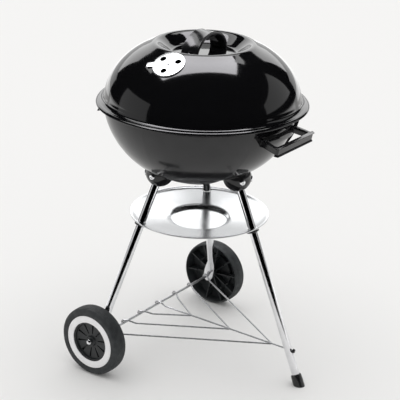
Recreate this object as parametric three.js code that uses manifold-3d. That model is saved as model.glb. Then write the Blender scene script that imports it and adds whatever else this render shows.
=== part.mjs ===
// Kettle charcoal grill with a 47 cm lid, on three splayed chrome legs and two wheels.
// Millimetres, +Z up. The floor is z = 0, the wheels' axle runs along Y, and the plain leg is on +X.
// Everything is laid out about the kettle's axis; the last lines move the origin to the middle
// of the grill's footprint.
import * as THREE from 'three';
import { mergeVertices } from 'three/addons/utils/BufferGeometryUtils.js';
import Module from 'manifold-3d';

const wasm = await Module();
wasm.setup();

// ---- driving dimensions -------------------------------------------------------------------
const gap = 0.3;                 // clearance between pieces that touch
const turnSides = 32;            // facets around the kettle's big turned pieces

const rimZ = 613.6;              // height of the lid's brim
const lidR = 217.6;              // outer radius of the dome at its foot
const lidH = 145;                // dome height over the brim, before its top is pressed in
const lidShape = [2.30, 1.91];   // exponents of the dome's superellipse, across and up
const brimR = 235;               // outer radius of the lid's brim
const wall = 1.2;                // enamelled steel sheet
const dishFloorZ = 721.5;        // floor of the round dish pressed into the lid's top
const dishFloorR = 72;
const crestR = 107;              // crest around the dish
const lidTurn = THREE.MathUtils.degToRad(4.2);   // how far the lid is turned on the bowl

const bowlR = 211.3;
const bowlH = 161.4;
const bowlShape = [2.51, 1.67];
const bowlTopZ = rimZ - 10;      // where the bowl's wall ends and its rolled rim starts

const ventR = 36;                // lid damper disc
const ventRho = 142.9;           // distance of its centre from the lid's axis
const ventHoleR = 7;
const ventHoleRing = 21.2;
const bowlVentR = 45;            // bowl damper disc
const bowlVentHoleR = 9;
const bowlVentRing = 28;

const tubeR = 9;                 // leg tube
const tubeWall = 1.2;
const socketR = 32;              // ball-shaped leg sockets under the bowl
const socketRho = 95;
const socketZ = 457;
const legRho = 104;              // leg axis at the height legZ
const legZ = 440;
const legTopZ = 451;
const footX = 285;               // plain leg's lower end
const footZ = 8;

const axleX = -114;
const axleZ = 80;
const axleR = 3;
const wheelR = 80;
const wheelY = 236;              // middle plane of each wheel
const tyreHalf = 18;             // half the tyre's width
const legEndY = 208;             // middle of each wheeled leg's flattened end

const panR = 158.3;
const panZ = 350;
const rackWireR = 2;
const cookingZ = 592;            // centre heights of the two grates
const cookingR = 200;
const charcoalZ = 505.5;
const charcoalR = 155;

// ---- materials ----------------------------------------------------------------------------
const finish = (color, roughness, metalness) =>
  new THREE.MeshStandardMaterial({ color, roughness, metalness });
const enamel = finish(0x0a0a0c, 0.1, 0);
const chrome = finish(0xd4d6da, 0.12, 1);
const aluminium = finish(0xc6c8cb, 0.3, 1);
const plastic = finish(0x141518, 0.35, 0);
const rubber = finish(0x2b2f33, 0.8, 0);
const whiteWall = finish(0xf1f1ee, 0.5, 0);
const wire = finish(0xb4b6b9, 0.35, 1);
const grateSteel = finish(0xa9abae, 0.3, 1);

// ---- shape helpers ------------------------------------------------------------------------
const vec = (x, y, z) => new THREE.Vector3(x, y, z);
const polar = (rho, degrees, z) => {
  const angle = THREE.MathUtils.degToRad(degrees);
  return vec(rho * Math.cos(angle), rho * Math.sin(angle), z);
};

// A closed geometry as a solid: only positions count, shared vertices are merged, faces point out.
function solidOf(geometry) {
  const bare = geometry.index ? geometry.toNonIndexed() : geometry.clone();
  for (const name of Object.keys(bare.attributes)) {
    if (name !== 'position') bare.deleteAttribute(name);
  }
  const merged = mergeVertices(bare, 1e-4);
  const vertProperties = new Float32Array(merged.attributes.position.array);
  const triVerts = new Uint32Array(merged.index.array);
  const whole = [];
  for (let i = 0; i < triVerts.length; i += 3) {
    const [a, b, c] = triVerts.subarray(i, i + 3);
    if (a !== b && b !== c && c !== a) whole.push(a, b, c);
  }
  if (signedVolume(vertProperties, whole) < 0) {
    for (let i = 0; i < whole.length; i += 3) [whole[i], whole[i + 1]] = [whole[i + 1], whole[i]];
  }
  const mesh = new wasm.Mesh({ numProp: 3, vertProperties, triVerts: new Uint32Array(whole) });
  return new wasm.Manifold(mesh);
}

function signedVolume(positions, indices) {
  const point = (i) => vec(...positions.subarray(3 * i, 3 * i + 3));
  let volume = 0;
  for (let i = 0; i < indices.length; i += 3) {
    const [a, b, c] = [point(indices[i]), point(indices[i + 1]), point(indices[i + 2])];
    volume += a.dot(b.cross(c)) / 6;
  }
  return volume;
}

function geometryOf(solid) {
  const mesh = solid.getMesh();
  const geometry = new THREE.BufferGeometry();
  geometry.setAttribute('position', new THREE.BufferAttribute(mesh.vertProperties, 3));
  geometry.setIndex(new THREE.BufferAttribute(mesh.triVerts, 1));
  const faceted = geometry.toNonIndexed();
  faceted.computeVertexNormals();
  return faceted;
}

const joined = (first, ...others) => others.reduce((sum, next) => sum.add(next), first);
const without = (first, ...tools) => tools.reduce((rest, tool) => rest.subtract(tool), first);

// A body of revolution about Z from (radius, height) pairs.
function turned(profile, sides = turnSides) {
  const points = profile.map(([r, z]) => new THREE.Vector2(r, z));
  return solidOf(new THREE.LatheGeometry(points, sides).rotateX(Math.PI / 2));
}

// The same body stood on a point, its axis along a direction.
function turnedAt(profile, base, direction, sides = 12) {
  const points = profile.map(([r, z]) => new THREE.Vector2(r, z));
  const turn = new THREE.Quaternion().setFromUnitVectors(vec(0, 1, 0), direction.clone().normalize());
  const geometry = new THREE.LatheGeometry(points, sides).applyQuaternion(turn);
  return solidOf(geometry.translate(base.x, base.y, base.z));
}

const rod = (from, to, radius, sides = 12) => {
  const length = from.distanceTo(to);
  const profile = [[0, 0], [radius, 0], [radius, length], [0, length]];
  return turnedAt(profile, from, to.clone().sub(from), sides);
};

const box = (width, depth, height, x, y, z) =>
  solidOf(new THREE.BoxGeometry(width, depth, height).translate(x, y, z));

// A flat outline of (x, y) pairs, given a thickness along Z.
function slab(outline, thickness) {
  const shape = new THREE.Shape(outline.map(([x, y]) => new THREE.Vector2(x, y)));
  return new THREE.ExtrudeGeometry(shape, { depth: thickness, bevelEnabled: false });
}

// A tube whose oval section changes along its length.
function swept(sections, sides) {
  const last = sections.length - 1;
  const geometry = new THREE.CylinderGeometry(1, 1, 1, sides, last);
  const position = geometry.attributes.position;
  for (let i = 0; i < position.count; i += 1) {
    const { centre, u, v, a, b } = sections[Math.round((0.5 - position.getY(i)) * last)];
    const place = centre.clone();
    place.addScaledVector(u, a * position.getX(i)).addScaledVector(v, b * position.getZ(i));
    position.setXYZ(i, place.x, place.y, place.z);
  }
  return solidOf(geometry);
}

const grill = new THREE.Group();
const lid = new THREE.Group();
lid.rotation.z = lidTurn;
grill.add(lid);

function piece(name, solid, material, parent = grill) {
  const mesh = new THREE.Mesh(geometryOf(solid), material);
  mesh.name = name;
  parent.add(mesh);
  return mesh;
}

// ---- lid: enamelled dome with a dish pressed into its top -----------------------------------
const superRadius = (t, R, p) => R * Math.cos(t) ** (2 / p);
const superRise = (t, H, q) => H * Math.sin(t) ** (2 / q);

function domeArc(inset, from, steps) {
  const arc = [];
  for (let i = 0; i <= steps; i += 1) {
    const t = from * (1 - i / steps);
    arc.push([superRadius(t, lidR - inset, lidShape[0]), rimZ + superRise(t, lidH - inset, lidShape[1])]);
  }
  return arc;
}
const domeZ = (r) => rimZ + lidH * (1 - (r / lidR) ** lidShape[0]) ** (1 / lidShape[1]);
const dish = [[0, 0], [dishFloorR - 2, 0], [dishFloorR + 3, 2], [crestR - 11, 18.6], [crestR - 5, 21.4],
  [crestR, 22.1], [crestR + 6, 20.6]];
const arcStart = 0.94;           // angle on the superellipse just outside the crest
const upperArc = domeArc(0, arcStart, 7).filter(([, z]) => z > rimZ + 8);
const lowerArc = domeArc(wall, arcStart, 7).filter(([, z]) => z > rimZ + 8);
const lidProfile = [
  ...dish.map(([r, z]) => [r, dishFloorZ + z]),
  ...upperArc,
  [lidR, rimZ + 5], [lidR + 3, rimZ + 1.4], [brimR - 2.4, rimZ + 0.4], [brimR, rimZ - 1.4],
  [brimR, rimZ - 3.6], [brimR - 1.8, rimZ - 5.2], [brimR - 4.8, rimZ - 4], [lidR - 3, rimZ - 4],
  [lidR - wall, rimZ - 1],
  ...lowerArc.reverse(),
  ...dish.slice().reverse().map(([r, z]) => [r, dishFloorZ + z - wall]),
];

// The damper sits on the dome's slope, towards -Y in the lid's own frame.
const ventZ = domeZ(ventRho);
const slopeOut = (lidShape[0] / lidR) * (ventRho / lidR) ** (lidShape[0] - 1);
const slopeUp = (lidShape[1] / lidH) * ((ventZ - rimZ) / lidH) ** (lidShape[1] - 1);
const ventAxis = vec(0, -slopeOut, slopeUp).normalize();
const ventCentre = vec(0, -ventRho, ventZ);
const ventTurn = new THREE.Quaternion().setFromUnitVectors(vec(0, 0, 1), ventAxis);
function placedOnVent(geometry) {
  const placed = geometry.clone().applyQuaternion(ventTurn);
  return solidOf(placed.translate(ventCentre.x, ventCentre.y, ventCentre.z));
}
const drill = (radius, x, y, low, high, sides = 12) =>
  new THREE.CylinderGeometry(radius, radius, high - low, sides).rotateX(Math.PI / 2)
    .translate(x, y, (low + high) / 2);
const threeAround = (ring, start) => [0, 120, 240].map((step) => polar(ring, start + step, 0));
const ventHoles = threeAround(ventHoleRing, -90);

const handleHalf = 67;           // half the arch handle's length, along Y
const handleWidth = 38;
const handleTopZ = 769;
const boltY = 60.5;
const boltHoleR = 3;
let lidSolid = turned(lidProfile);
for (const hole of ventHoles) {
  lidSolid = lidSolid.subtract(placedOnVent(drill(ventHoleR, hole.x, hole.y, -12, 8)));
}
lidSolid = lidSolid.subtract(placedOnVent(drill(2.4, 0, 0, -12, 8)));
for (const side of [-1, 1]) {
  const y = side * boltY;
  lidSolid = lidSolid.subtract(rod(vec(0, y, dishFloorZ - 8), vec(0, y, dishFloorZ + 8), boltHoleR));
}
piece('lid_shell', lidSolid, enamel, lid);

// Arch handle, moulded in black plastic, bolted from under the lid.
const archBow = 2 / 1.9;         // superellipse exponent that bows the arch's legs inwards
function archOutline(half, rise, steps) {
  const outline = [];
  for (let i = 0; i <= steps; i += 1) {
    const t = Math.PI * (i / steps);
    const [along, up] = [Math.abs(Math.cos(t)) ** archBow, Math.sin(t) ** archBow];
    outline.push([-half * Math.sign(Math.cos(t)) * along, rise * up]);
  }
  return outline;
}
const handleBaseZ = dishFloorZ + gap;
const handleRise = handleTopZ - handleBaseZ;
const archShape = [...archOutline(handleHalf, handleRise, 14),
  ...archOutline(handleHalf - 11, handleRise - 7, 14).reverse()];
const archGeometry = slab(archShape, handleWidth).translate(0, 0, -handleWidth / 2)
  .rotateX(Math.PI / 2).rotateZ(Math.PI / 2).translate(0, 0, handleBaseZ);
let handleSolid = solidOf(archGeometry);
for (const side of [-1, 1]) {
  const foot = vec(0, side * boltY, handleBaseZ - 1);
  handleSolid = handleSolid.subtract(rod(foot, foot.clone().setZ(handleBaseZ + 13), boltHoleR));
}
piece('lid_handle', handleSolid, plastic, lid);
for (const [name, side] of [['left', -1], ['right', 1]]) {
  const head = [[0, 0], [3, 0], [5.5, 1], [6.5, 3], [6.5, 4], [2.6, 4], [2.6, 18], [0, 18]];
  const base = vec(0, side * boltY, dishFloorZ - wall - 4 - gap);
  piece(`lid_handle_bolt_${name}`, turnedAt(head, base, vec(0, 0, 1)), chrome, lid);
}

// Damper: a dished chrome disc with three holes and a tab, turning on a rivet.
const ventBow = (r) => (r * r) / (2 * 283);
const ventSkin = 1.4;
const ventLift = 1;
const discPoints = [0, 18, ventR].map((r) => [r, ventLift - ventBow(r)]);
const ventProfile = [...discPoints, ...discPoints.slice().reverse().map(([r, z]) => [r, z + ventSkin])];
const discGeometry = new THREE.LatheGeometry(
  ventProfile.map(([r, z]) => new THREE.Vector2(r, z)), 28).rotateX(Math.PI / 2);
const tabLength = 17;
const tabTilt = 0.1;
const tabTurn = THREE.MathUtils.degToRad(194);
const tabGeometry = new THREE.BoxGeometry(tabLength, 13, ventSkin).rotateY(tabTilt)
  .translate(ventR + 5, 0, ventLift - ventBow(ventR + 5) + ventSkin / 2 + 0.5).rotateZ(tabTurn);
let damperSolid = joined(placedOnVent(discGeometry), placedOnVent(tabGeometry));
for (const hole of ventHoles) {
  damperSolid = damperSolid.subtract(placedOnVent(drill(ventHoleR, hole.x, hole.y, -6, 6)));
}
damperSolid = damperSolid.subtract(placedOnVent(drill(2.4, 0, 0, -6, 6)));
piece('lid_damper', damperSolid, chrome, lid);
const rivetProfile = [[0, -6.5], [4, -6.5], [4.5, -4.6], [2, -4.6], [2, 2.7], [4, 2.7], [3.4, 4], [0, 4.5]];
piece('lid_damper_rivet', turnedAt(rivetProfile, ventCentre, ventAxis), chrome, lid);

// ---- bowl: enamelled, with a rolled rim and three air holes in its bottom --------------------
function bowlArc(inset, steps) {
  const arc = [];
  for (let i = 0; i <= steps; i += 1) {
    const t = (Math.PI / 2) * (1 - i / steps);
    const r = i === 0 ? 0 : superRadius(t, bowlR - inset, bowlShape[0]);
    arc.push([r, bowlTopZ - superRise(t, bowlH - inset, bowlShape[1])]);
  }
  return arc;
}
const bowlSteps = 9;
const rolledRim = [[bowlR + 2, bowlTopZ + 2.4], [bowlR + 14, bowlTopZ + 1], [bowlR + 18, bowlTopZ + 2],
  [bowlR + 18, bowlTopZ + 4], [bowlR + 16.6, bowlTopZ + 5.4], [bowlR - wall + 0.5, bowlTopZ + 5.4]];
const bowlProfile = [...bowlArc(0, bowlSteps), ...rolledRim, ...bowlArc(wall, bowlSteps).reverse()];
const bowlBody = turned([...bowlArc(-gap - 0.2, bowlSteps), [0, bowlTopZ]]);
const bowlZ = (r) => bowlTopZ - bowlH * (1 - (r / bowlR) ** bowlShape[0]) ** (1 / bowlShape[1]);

// Outward unit normal of the bowl at a distance from its axis and an angle around it.
function bowlNormal(rho, degrees) {
  const depth = (bowlTopZ - bowlZ(rho)) / bowlH;
  const out = (bowlShape[0] / bowlR) * (rho / bowlR) ** (bowlShape[0] - 1);
  const down = (bowlShape[1] / bowlH) * depth ** (bowlShape[1] - 1);
  return polar(out, degrees, -down).normalize();
}
const bowlPoint = (rho, degrees) => polar(rho, degrees, bowlZ(rho));

const legAngles = { front: 0, left: -120, right: 120 };
const socketBoltRho = 78;
const sideBoltRho = 207.6;
const sideBolts = [['front_left', -16.6], ['front_right', 16.6], ['rear_left', 196.6], ['rear_right', 163.4]];
const throughBowl = (rho, degrees, radius) => {
  const normal = bowlNormal(rho, degrees);
  const point = bowlPoint(rho, degrees);
  return rod(point.clone().addScaledVector(normal, -8), point.clone().addScaledVector(normal, 8), radius);
};
let bowlSolid = turned(bowlProfile);
for (const hole of threeAround(bowlVentRing, 60)) {
  bowlSolid = bowlSolid.subtract(rod(hole.clone().setZ(430), hole.clone().setZ(460), bowlVentHoleR, 12));
}
bowlSolid = bowlSolid.subtract(rod(vec(0, 0, 430), vec(0, 0, 460), 3.4));
for (const degrees of Object.values(legAngles)) {
  bowlSolid = bowlSolid.subtract(throughBowl(socketBoltRho, degrees, 3.3));
}
for (const [, degrees] of sideBolts) {
  bowlSolid = bowlSolid.subtract(throughBowl(sideBoltRho, degrees, 3.3));
}
piece('bowl_shell', bowlSolid, enamel);

// Bolts whose domed heads sit inside the bowl.
const innerBolt = (rho, degrees, length) => {
  const normal = bowlNormal(rho, degrees);
  const start = bowlPoint(rho, degrees).addScaledVector(normal, -wall - 5.8);
  const profile = [[0, 0], [3.5, 0], [6, 1.4], [6.6, 4], [2.7, 4], [2.7, length], [0, length]];
  return turnedAt(profile, start, normal);
};

// Ash-side damper: a disc under the bowl with a lever, turning on a rivet.
const bowlVentZ = bowlTopZ - bowlH - 0.5;
const bowlVentProfile = [[0, -1.8], [bowlVentR, -1.8], [bowlVentR, 0], [0, 0]]
  .map(([r, z]) => [r, bowlVentZ + z]);
const leverTurn = THREE.MathUtils.degToRad(155);
const leverGeometry = new THREE.BoxGeometry(42, 14, 1.8)
  .translate(bowlVentR + 14, 0, bowlVentZ - 0.9).rotateZ(leverTurn);
const leverTip = new THREE.BoxGeometry(2, 18, 11)
  .translate(bowlVentR + 34, 0, bowlVentZ - 5.5).rotateZ(leverTurn);
let bowlDamper = joined(turned(bowlVentProfile, 28), solidOf(leverGeometry), solidOf(leverTip));
for (const hole of threeAround(bowlVentRing, 60)) {
  bowlDamper = bowlDamper.subtract(rod(hole.clone().setZ(430), hole.clone().setZ(450), bowlVentHoleR, 12));
}
bowlDamper = bowlDamper.subtract(rod(vec(0, 0, 430), vec(0, 0, 450), 3.4));
piece('bowl_damper', bowlDamper, aluminium);
const bowlRivetProfile = [[0, -5.2], [5, -5.2], [6.5, -2.4], [2.9, -2.4], [2.9, 3.2], [6, 3.2], [5, 5.2],
  [0, 5.8]].map(([r, z]) => [r, bowlVentZ + z]);
piece('bowl_damper_rivet', turned(bowlRivetProfile, 16), chrome);

// ---- side handles: closed D-shaped loops, tilted a little down from the rim -----------------
const sideRootX = 190;
const sideReachX = 249;
const sideHeight = 20;
const sideTilt = THREE.MathUtils.degToRad(12);
const sideTopZ = 572.8;          // top edge of the grip bar
const sideOuter = [[sideRootX, -66], [sideReachX - 7, -73], [sideReachX - 2, -72], [sideReachX, -67],
  [sideReachX, 67], [sideReachX - 2, 72], [sideReachX - 7, 73], [sideRootX, 66]];
const sideInner = [[207, -52], [sideReachX - 16, -58], [sideReachX - 12, -54], [sideReachX - 12, 54],
  [sideReachX - 16, 58], [207, 52], [210, 44], [213, 22], [214, 0], [213, -22], [210, -44]];
function sideHandle() {
  const lowered = (outline, depth, z) => solidOf(slab(outline, depth)
    .translate(-sideReachX, 0, z).rotateY(sideTilt).translate(sideReachX, 0, sideTopZ));
  const loop = without(lowered(sideOuter, sideHeight, -sideHeight), lowered(sideInner, 60, -40));
  return loop.subtract(bowlBody);
}
const turnAbout = new THREE.Matrix4().makeRotationZ(Math.PI);
const frontHandle = sideHandle();
const handles = {
  front: frontHandle,
  rear: solidOf(geometryOf(frontHandle).applyMatrix4(turnAbout)),
};
for (const [end, solid] of Object.entries(handles)) {
  let drilled = solid;
  for (const [name, degrees] of sideBolts.filter(([name]) => name.startsWith(end))) {
    drilled = drilled.subtract(throughBowl(sideBoltRho, degrees, 3.3))
      .subtract(rod(bowlPoint(sideBoltRho, degrees),
        bowlPoint(sideBoltRho, degrees).addScaledVector(bowlNormal(sideBoltRho, degrees), 14.5), 3.3));
    piece(`side_handle_bolt_${name}`, innerBolt(sideBoltRho, degrees, 19), chrome);
  }
  piece(`side_handle_${end}`, drilled, plastic);
}

// ---- legs, their ball sockets and the foot ---------------------------------------------------
const footPoint = vec(footX, 0, footZ);
const tabUp = vec(0.17, 0, 1).normalize();      // direction of a wheeled leg's flattened end
const legLines = {};
for (const [name, degrees] of Object.entries(legAngles)) {
  const shoulder = polar(legRho, degrees, legZ);
  const side = Math.sign(Math.round(shoulder.y));
  const hub = vec(axleX, side * legEndY, axleZ);
  const low = name === 'front' ? footPoint.clone() : hub.clone().addScaledVector(tabUp, 42);
  const along = shoulder.clone().sub(low).normalize();
  const top = low.clone().addScaledVector(along, (legTopZ - low.z) / along.z);
  legLines[name] = { degrees, low, top, along, hub };
}

function legSolid(name) {
  const { low, top, along, hub } = legLines[name];
  const across = vec(0, 0, 1).cross(along).normalize();
  const level = along.clone().cross(across).normalize();
  const round = (centre, radius) => ({ centre, u: across, v: level, a: radius, b: radius });
  const bore = tubeR - tubeWall;
  if (name === 'front') {
    const end = low.clone().addScaledVector(along, 4);
    const screwHole = rackHole();
    return without(swept([round(top, tubeR), round(end, tubeR)], 14),
      swept([round(top.clone().addScaledVector(along, 1), bore), round(low, bore)], 14), screwHole);
  }
  const flat = (distance, width, thickness) => ({
    centre: hub.clone().addScaledVector(tabUp, distance),
    u: vec(1, 0, 0), v: vec(0, 1, 0), a: width, b: thickness,
  });
  const turnSign = Math.sign(level.dot(vec(0, 1, 0)) || 1);
  const uSign = Math.sign(across.dot(vec(1, 0, 0)) || 1);
  const aimed = (section) => ({ ...section,
    u: section.u.clone().multiplyScalar(uSign), v: section.v.clone().multiplyScalar(turnSign) });
  const outer = [round(top, tubeR), round(low.clone().addScaledVector(along, 30), tubeR),
    aimed(flat(38, 9.6, 8)), aimed(flat(26, 11.5, 4.4)), aimed(flat(16, 12, 3)), aimed(flat(-8, 12, 3)),
    aimed(flat(-13, 9, 3)), aimed(flat(-15, 4, 3))];
  const hollow = swept([round(top.clone().addScaledVector(along, 1), bore),
    round(low.clone().addScaledVector(along, 34), bore)], 14);
  const axleHole = rod(hub.clone().setY(hub.y - 8), hub.clone().setY(hub.y + 8), axleR + gap);
  return without(swept(outer, 14), hollow, axleHole);
}

const rackZ = axleZ;
const rackLegX = legLines.front.low.x
  + legLines.front.along.x * ((rackZ - footZ) / legLines.front.along.z);
function rackHole() {
  return rod(vec(rackLegX - 16, 0, rackZ), vec(rackLegX + 16, 0, rackZ), rackWireR + gap, 12);
}

for (const [name, { degrees, top, along }] of Object.entries(legLines)) {
  piece(`leg_${name}`, legSolid(name), chrome);
  const centre = polar(socketRho, degrees, socketZ);
  const ball = solidOf(new THREE.SphereGeometry(socketR, 14, 8).rotateX(Math.PI / 2)
    .translate(centre.x, centre.y, centre.z));
  const bore = rod(top.clone().addScaledVector(along, gap), top.clone().addScaledVector(along, -60),
    tubeR + gap + 0.3, 14);
  const boltNormal = bowlNormal(socketBoltRho, degrees);
  const boltStart = bowlPoint(socketBoltRho, degrees);
  const boltHole = rod(boltStart.clone().addScaledVector(boltNormal, -6),
    boltStart.clone().addScaledVector(boltNormal, 15), 3.1);
  let socket = without(ball, bowlBody, bore, boltHole);
  for (const [side, sweep] of [['a', -34], ['b', 34]]) {
    const outward = polar(1, degrees + sweep, -0.08).normalize();
    const surface = centre.clone().addScaledVector(outward, socketR);
    const screw = [[0, -10], [1.8, -10], [1.8, gap], [5, gap], [4.6, 2], [2.6, 3.2], [0, 3.4]];
    socket = socket.subtract(rod(surface.clone().addScaledVector(outward, -10.6),
      surface.clone().addScaledVector(outward, 2), 2.2, 12));
    piece(`socket_screw_${name}_${side}`, turnedAt(screw, surface, outward, 12), chrome);
  }
  piece(`leg_socket_${name}`, socket, plastic);
  piece(`socket_bolt_${name}`, innerBolt(socketBoltRho, degrees, 18), chrome);
}

// Plastic cap on the plain leg's lower end, flat on the floor.
const capR = 12.5;
const { along: footAlong } = legLines.front;
const capTop = footPoint.clone().addScaledVector(footAlong, 26);
const capAxisBottom = footPoint.clone().addScaledVector(footAlong, -20);
const capBody = rod(capTop, capAxisBottom, capR, 16);
const capBore = rod(capTop.clone().addScaledVector(footAlong, 2),
  footPoint.clone().addScaledVector(footAlong, 3), tubeR + gap + 0.2, 14);
const underFloor = box(120, 120, 60, footX, 0, -30);
piece('foot_cap', without(capBody, capBore, underFloor), plastic);

// ---- axle and wheels -------------------------------------------------------------------------
const alongY = vec(0, 1, 0);
const axleEnd = wheelY + 21;
const axlePoint = (y) => vec(axleX, y, axleZ);
piece('axle', rod(axlePoint(-axleEnd), axlePoint(axleEnd), axleR), wire);

const hubR = 46;
const hubBore = axleR + 0.5;
const tyreProfile = [[hubR + gap, 11.5], [70, 11.5], [73, 8], [74.5, -17.4], [76, -tyreHalf], [78.4, -15],
  [wheelR, -10], [wheelR, 10], [78.4, 15], [73, tyreHalf], [63, tyreHalf], [62.6, 15], [hubR + gap, 15],
  [hubR + gap, 11.5]];
const bandProfile = [[hubR + 0.6, 15.3], [62.2, 15.3], [62.2, 17.2], [60.5, 18], [48.5, 18],
  [hubR + 0.6, 17.2], [hubR + 0.6, 15.3]];
const hubProfile = [[hubBore, -14], [9, -14], [9, 4], [42.5, 5], [hubR, 3], [hubR, 14],
  [42.5, 14], [42.5, 9], [10, 8], [10, 12], [hubBore, 12], [hubBore, -14]];
const ribCount = 10;
function ribs(low, high, inner, outer) {
  const bars = [];
  for (let i = 0; i < ribCount; i += 1) {
    const bar = new THREE.BoxGeometry(outer - inner, 3, high - low)
      .translate((inner + outer) / 2, 0, (low + high) / 2).rotateZ((2 * Math.PI * i) / ribCount);
    bars.push(solidOf(bar));
  }
  return bars;
}
const hubSolid = joined(turned(hubProfile, 20), ...ribs(7.5, 10.5, 8, 44), ...ribs(-10, 5.5, 8, 43.5));
const tyreSolid = joined(turned(tyreProfile, 28), ...ribs(-11, 12.5, hubR + 2, 73.4));

for (const [name, side] of [['left', -1], ['right', 1]]) {
  const place = new THREE.Matrix4().makeRotationX(side > 0 ? -Math.PI / 2 : Math.PI / 2)
    .setPosition(axleX, side * wheelY, axleZ);
  const placed = (solid) => solidOf(geometryOf(solid).applyMatrix4(place));
  piece(`wheel_tyre_${name}`, placed(tyreSolid), rubber);
  piece(`wheel_band_${name}`, placed(turned(bandProfile, 28)), whiteWall);
  piece(`wheel_hub_${name}`, placed(hubSolid), plastic);
  const outward = alongY.clone().multiplyScalar(side);
  const capProfile = [[axleR + gap, 12.4], [7, 12.4], [7, 16], [6, 19.5], [3.6, 22], [0, 22.6], [0, 21.6],
    [axleR + gap, 21.4], [axleR + gap, 12.4]];
  piece(`axle_cap_${name}`, turnedAt(capProfile, axlePoint(side * wheelY), outward), chrome);
  const spacer = [[axleR + gap, 0], [6.5, 0], [6.5, 10], [axleR + gap, 10], [axleR + gap, 0]];
  const spacerStart = axlePoint(side * (legEndY + 3 + gap));
  piece(`axle_spacer_${name}`, turnedAt(spacer, spacerStart, outward), plastic);
}

// ---- ash pan on the legs ---------------------------------------------------------------------
const panTop = [[0, -22.5], [62, -22.5], [69, -20.5], [73, -15.5], [78, -14], [146, -3.6], [155, 0],
  [panR, -0.6], [panR, -2.4], [155, -3.4]];
const panSkin = 1.5;
const panUnder = [[146, -5.1], [78, -15.6], [71.6, -17.4], [68, -22], [62, -24], [0, -24]];
const panProfile = [...panTop, ...panUnder].map(([r, z]) => [r, panZ + z]);
const panCrossZ = panZ - 4;
const crossing = ({ low, along }, z) => low.clone().addScaledVector(along, (z - low.z) / along.z);
let panSolid = turned(panProfile);
for (const line of Object.values(legLines)) {
  const point = crossing(line, panCrossZ - panSkin / 2);
  panSolid = panSolid.subtract(rod(point.clone().setZ(panZ - 30), point.clone().setZ(panZ + 10), 11.6, 12));
}
piece('ash_pan', panSolid, aluminium);
const clipProfile = [[tubeR + gap, 0], [14.5, 0], [14.5, 4], [tubeR + gap, 4], [tubeR + gap, 0]];
for (const [name, line] of Object.entries(legLines)) {
  const start = crossing(line, panZ - 13.6);
  piece(`pan_clip_${name}`, turnedAt(clipProfile, start, line.along, 14), plastic);
}

// ---- wire rack between the axle and the plain leg ---------------------------------------------
// Each wire is hooked over the axle; three V's are welded under one spine.
const hookR = axleR + rackWireR + 1.2;
function bentWire(points) {
  const rods = points.slice(1).map((point, i) => {
    const reach = point.clone().sub(points[i]).setLength(rackWireR * 0.4);
    return rod(points[i], point.clone().add(reach), rackWireR, 5);
  });
  return joined(rods[0], ...rods.slice(1));
}
function hook(y) {
  const turnPoints = [];
  for (const degrees of [205, 150, 90]) {
    const angle = THREE.MathUtils.degToRad(degrees);
    turnPoints.push(vec(axleX + hookR * Math.cos(angle), y, axleZ + hookR * Math.sin(angle)));
  }
  return turnPoints;
}
const vees = [[68, -15.6], [128.6, 94.7], [196, 209.9]];
const rackEnd = vec(rackLegX + 15.4, 0, rackZ);
const spine = [...hook(0), vec(axleX + 24, 0, rackZ), vec(rackLegX - 14, 0, rackZ), rackEnd];
const veeWires = vees.map(([halfBase, apexX]) => {
  const sideWire = (side) => {
    const apex = vec(apexX, side * 1.2, rackZ - 0.6);
    const start = vec(axleX + 24, side * (halfBase * (1 - 24 / (apexX - axleX))), rackZ);
    return bentWire([...hook(side * halfBase), start, apex]);
  };
  return joined(sideWire(-1), sideWire(1));
});
piece('wire_rack', joined(bentWire(spine), ...veeWires), wire);
const nutProfile = [[rackWireR + gap, 0], [5, 0], [5, 3], [3.4, 4.6], [0, 5], [0, 4.2], [rackWireR + gap, 4],
  [rackWireR + gap, 0]];
const nutStart = vec(rackLegX + 12.3, 0, rackZ);
piece('rack_nut', turnedAt(nutProfile, nutStart, vec(1, 0, 0)), plastic);

// ---- grates and the tabs that carry the upper one ---------------------------------------------
function grate(radius, z, pitch, wireR, crossBars) {
  const [inner, outer] = [radius - wireR, radius + wireR];
  const ring = turned([[inner, z - wireR], [outer, z - wireR], [outer, z + wireR], [inner, z + wireR],
    [inner, z - wireR]]);
  const bars = [];
  const count = Math.floor((radius - pitch / 2) / pitch);
  for (let i = -count; i <= count; i += 1) {
    const y = i * pitch;
    const half = Math.sqrt(radius * radius - y * y) - wireR * 0.4;
    bars.push(box(2 * half, wireR * 1.7, wireR * 1.7, 0, y, z));
  }
  for (const x of crossBars) {
    const half = Math.sqrt(radius * radius - x * x) - wireR * 0.4;
    bars.push(box(wireR * 2, 2 * half, wireR * 2, x, 0, z - wireR * 1.5));
  }
  return joined(ring, ...bars);
}
const cookingGrate = grate(cookingR, cookingZ, 18, 2.5, [-90, 90]);
const charcoalGrate = grate(charcoalR, charcoalZ, 24, 3, [-70, 70]);
piece('cooking_grate', cookingGrate, grateSteel);
piece('charcoal_grate', charcoalGrate, grateSteel);

const tabTopZ = cookingZ - 3;
const tabShape = [[187, 0], [187, -2], [199, -2], [199, -12], [200.6, -12], [201.6, -1.8], [202.6, 0]];
for (const [index, degrees] of [45, 135, 225, 315].entries()) {
  const tab = slab(tabShape, 16).translate(0, 0, -8).rotateX(Math.PI / 2)
    .rotateZ(THREE.MathUtils.degToRad(degrees)).translate(0, 0, tabTopZ);
  piece(`grate_tab_${index + 1}`, solidOf(tab), grateSteel);
}

// ---- origin: middle of the footprint, on the floor --------------------------------------------
const footprint = new THREE.Box3().setFromObject(grill);
grill.position.x = -(footprint.min.x + footprint.max.x) / 2;

export default grill;
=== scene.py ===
import math

import bpy
from mathutils import Matrix, Vector


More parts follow.
